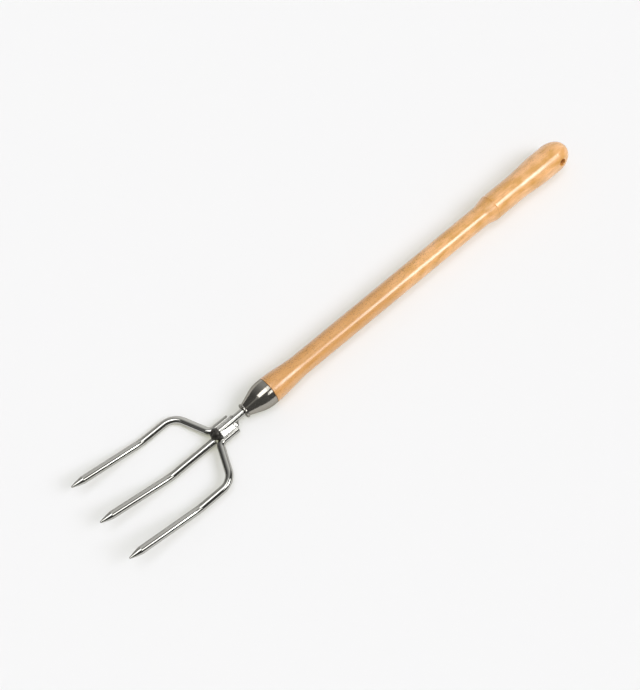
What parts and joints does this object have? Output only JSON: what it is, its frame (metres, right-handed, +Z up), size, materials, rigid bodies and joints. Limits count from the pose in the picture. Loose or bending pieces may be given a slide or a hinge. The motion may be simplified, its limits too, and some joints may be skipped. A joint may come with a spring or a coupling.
{
  "type": "perennial fork",
  "caption": "Long-handled hand fork with round bent steel tines, a bell ferrule and a turned, varnished wooden handle with a grip and a knob.",
  "frame": {"origin": "on the table under the middle of the tool's box, as the tool lies at rest", "axes": "+X along the handle towards its knob, -X towards the tines' tips, +Z up from the table, +Y across, to the side of right_tine"},
  "size_m": [0.707, 0.1128, 0.0374],
  "materials": {
    "varnished_wood": "turned hardwood under clear gloss varnish",
    "polished_ferrule": "mirror-polished stainless steel, turned",
    "polished_collar": "mirror-polished stainless steel, turned",
    "polished_rod": "mirror-polished stainless steel, drawn rod",
    "weld_steel": "electropolished weld bead",
    "set_resin": "set epoxy resin"
  },
  "bodies": {
    "root": {"handle": "varnished_wood", "ferrule": "polished_ferrule", "stop_collar": "polished_collar", "tang_adhesive": "set_resin", "shank": "polished_rod", "centre_tine": "polished_rod", "right_tine": "polished_rod", "left_tine": "polished_rod", "right_lap_weld": "weld_steel", "left_lap_weld": "weld_steel", "crotch_weld": "weld_steel"}
  },
  "joints": []
}
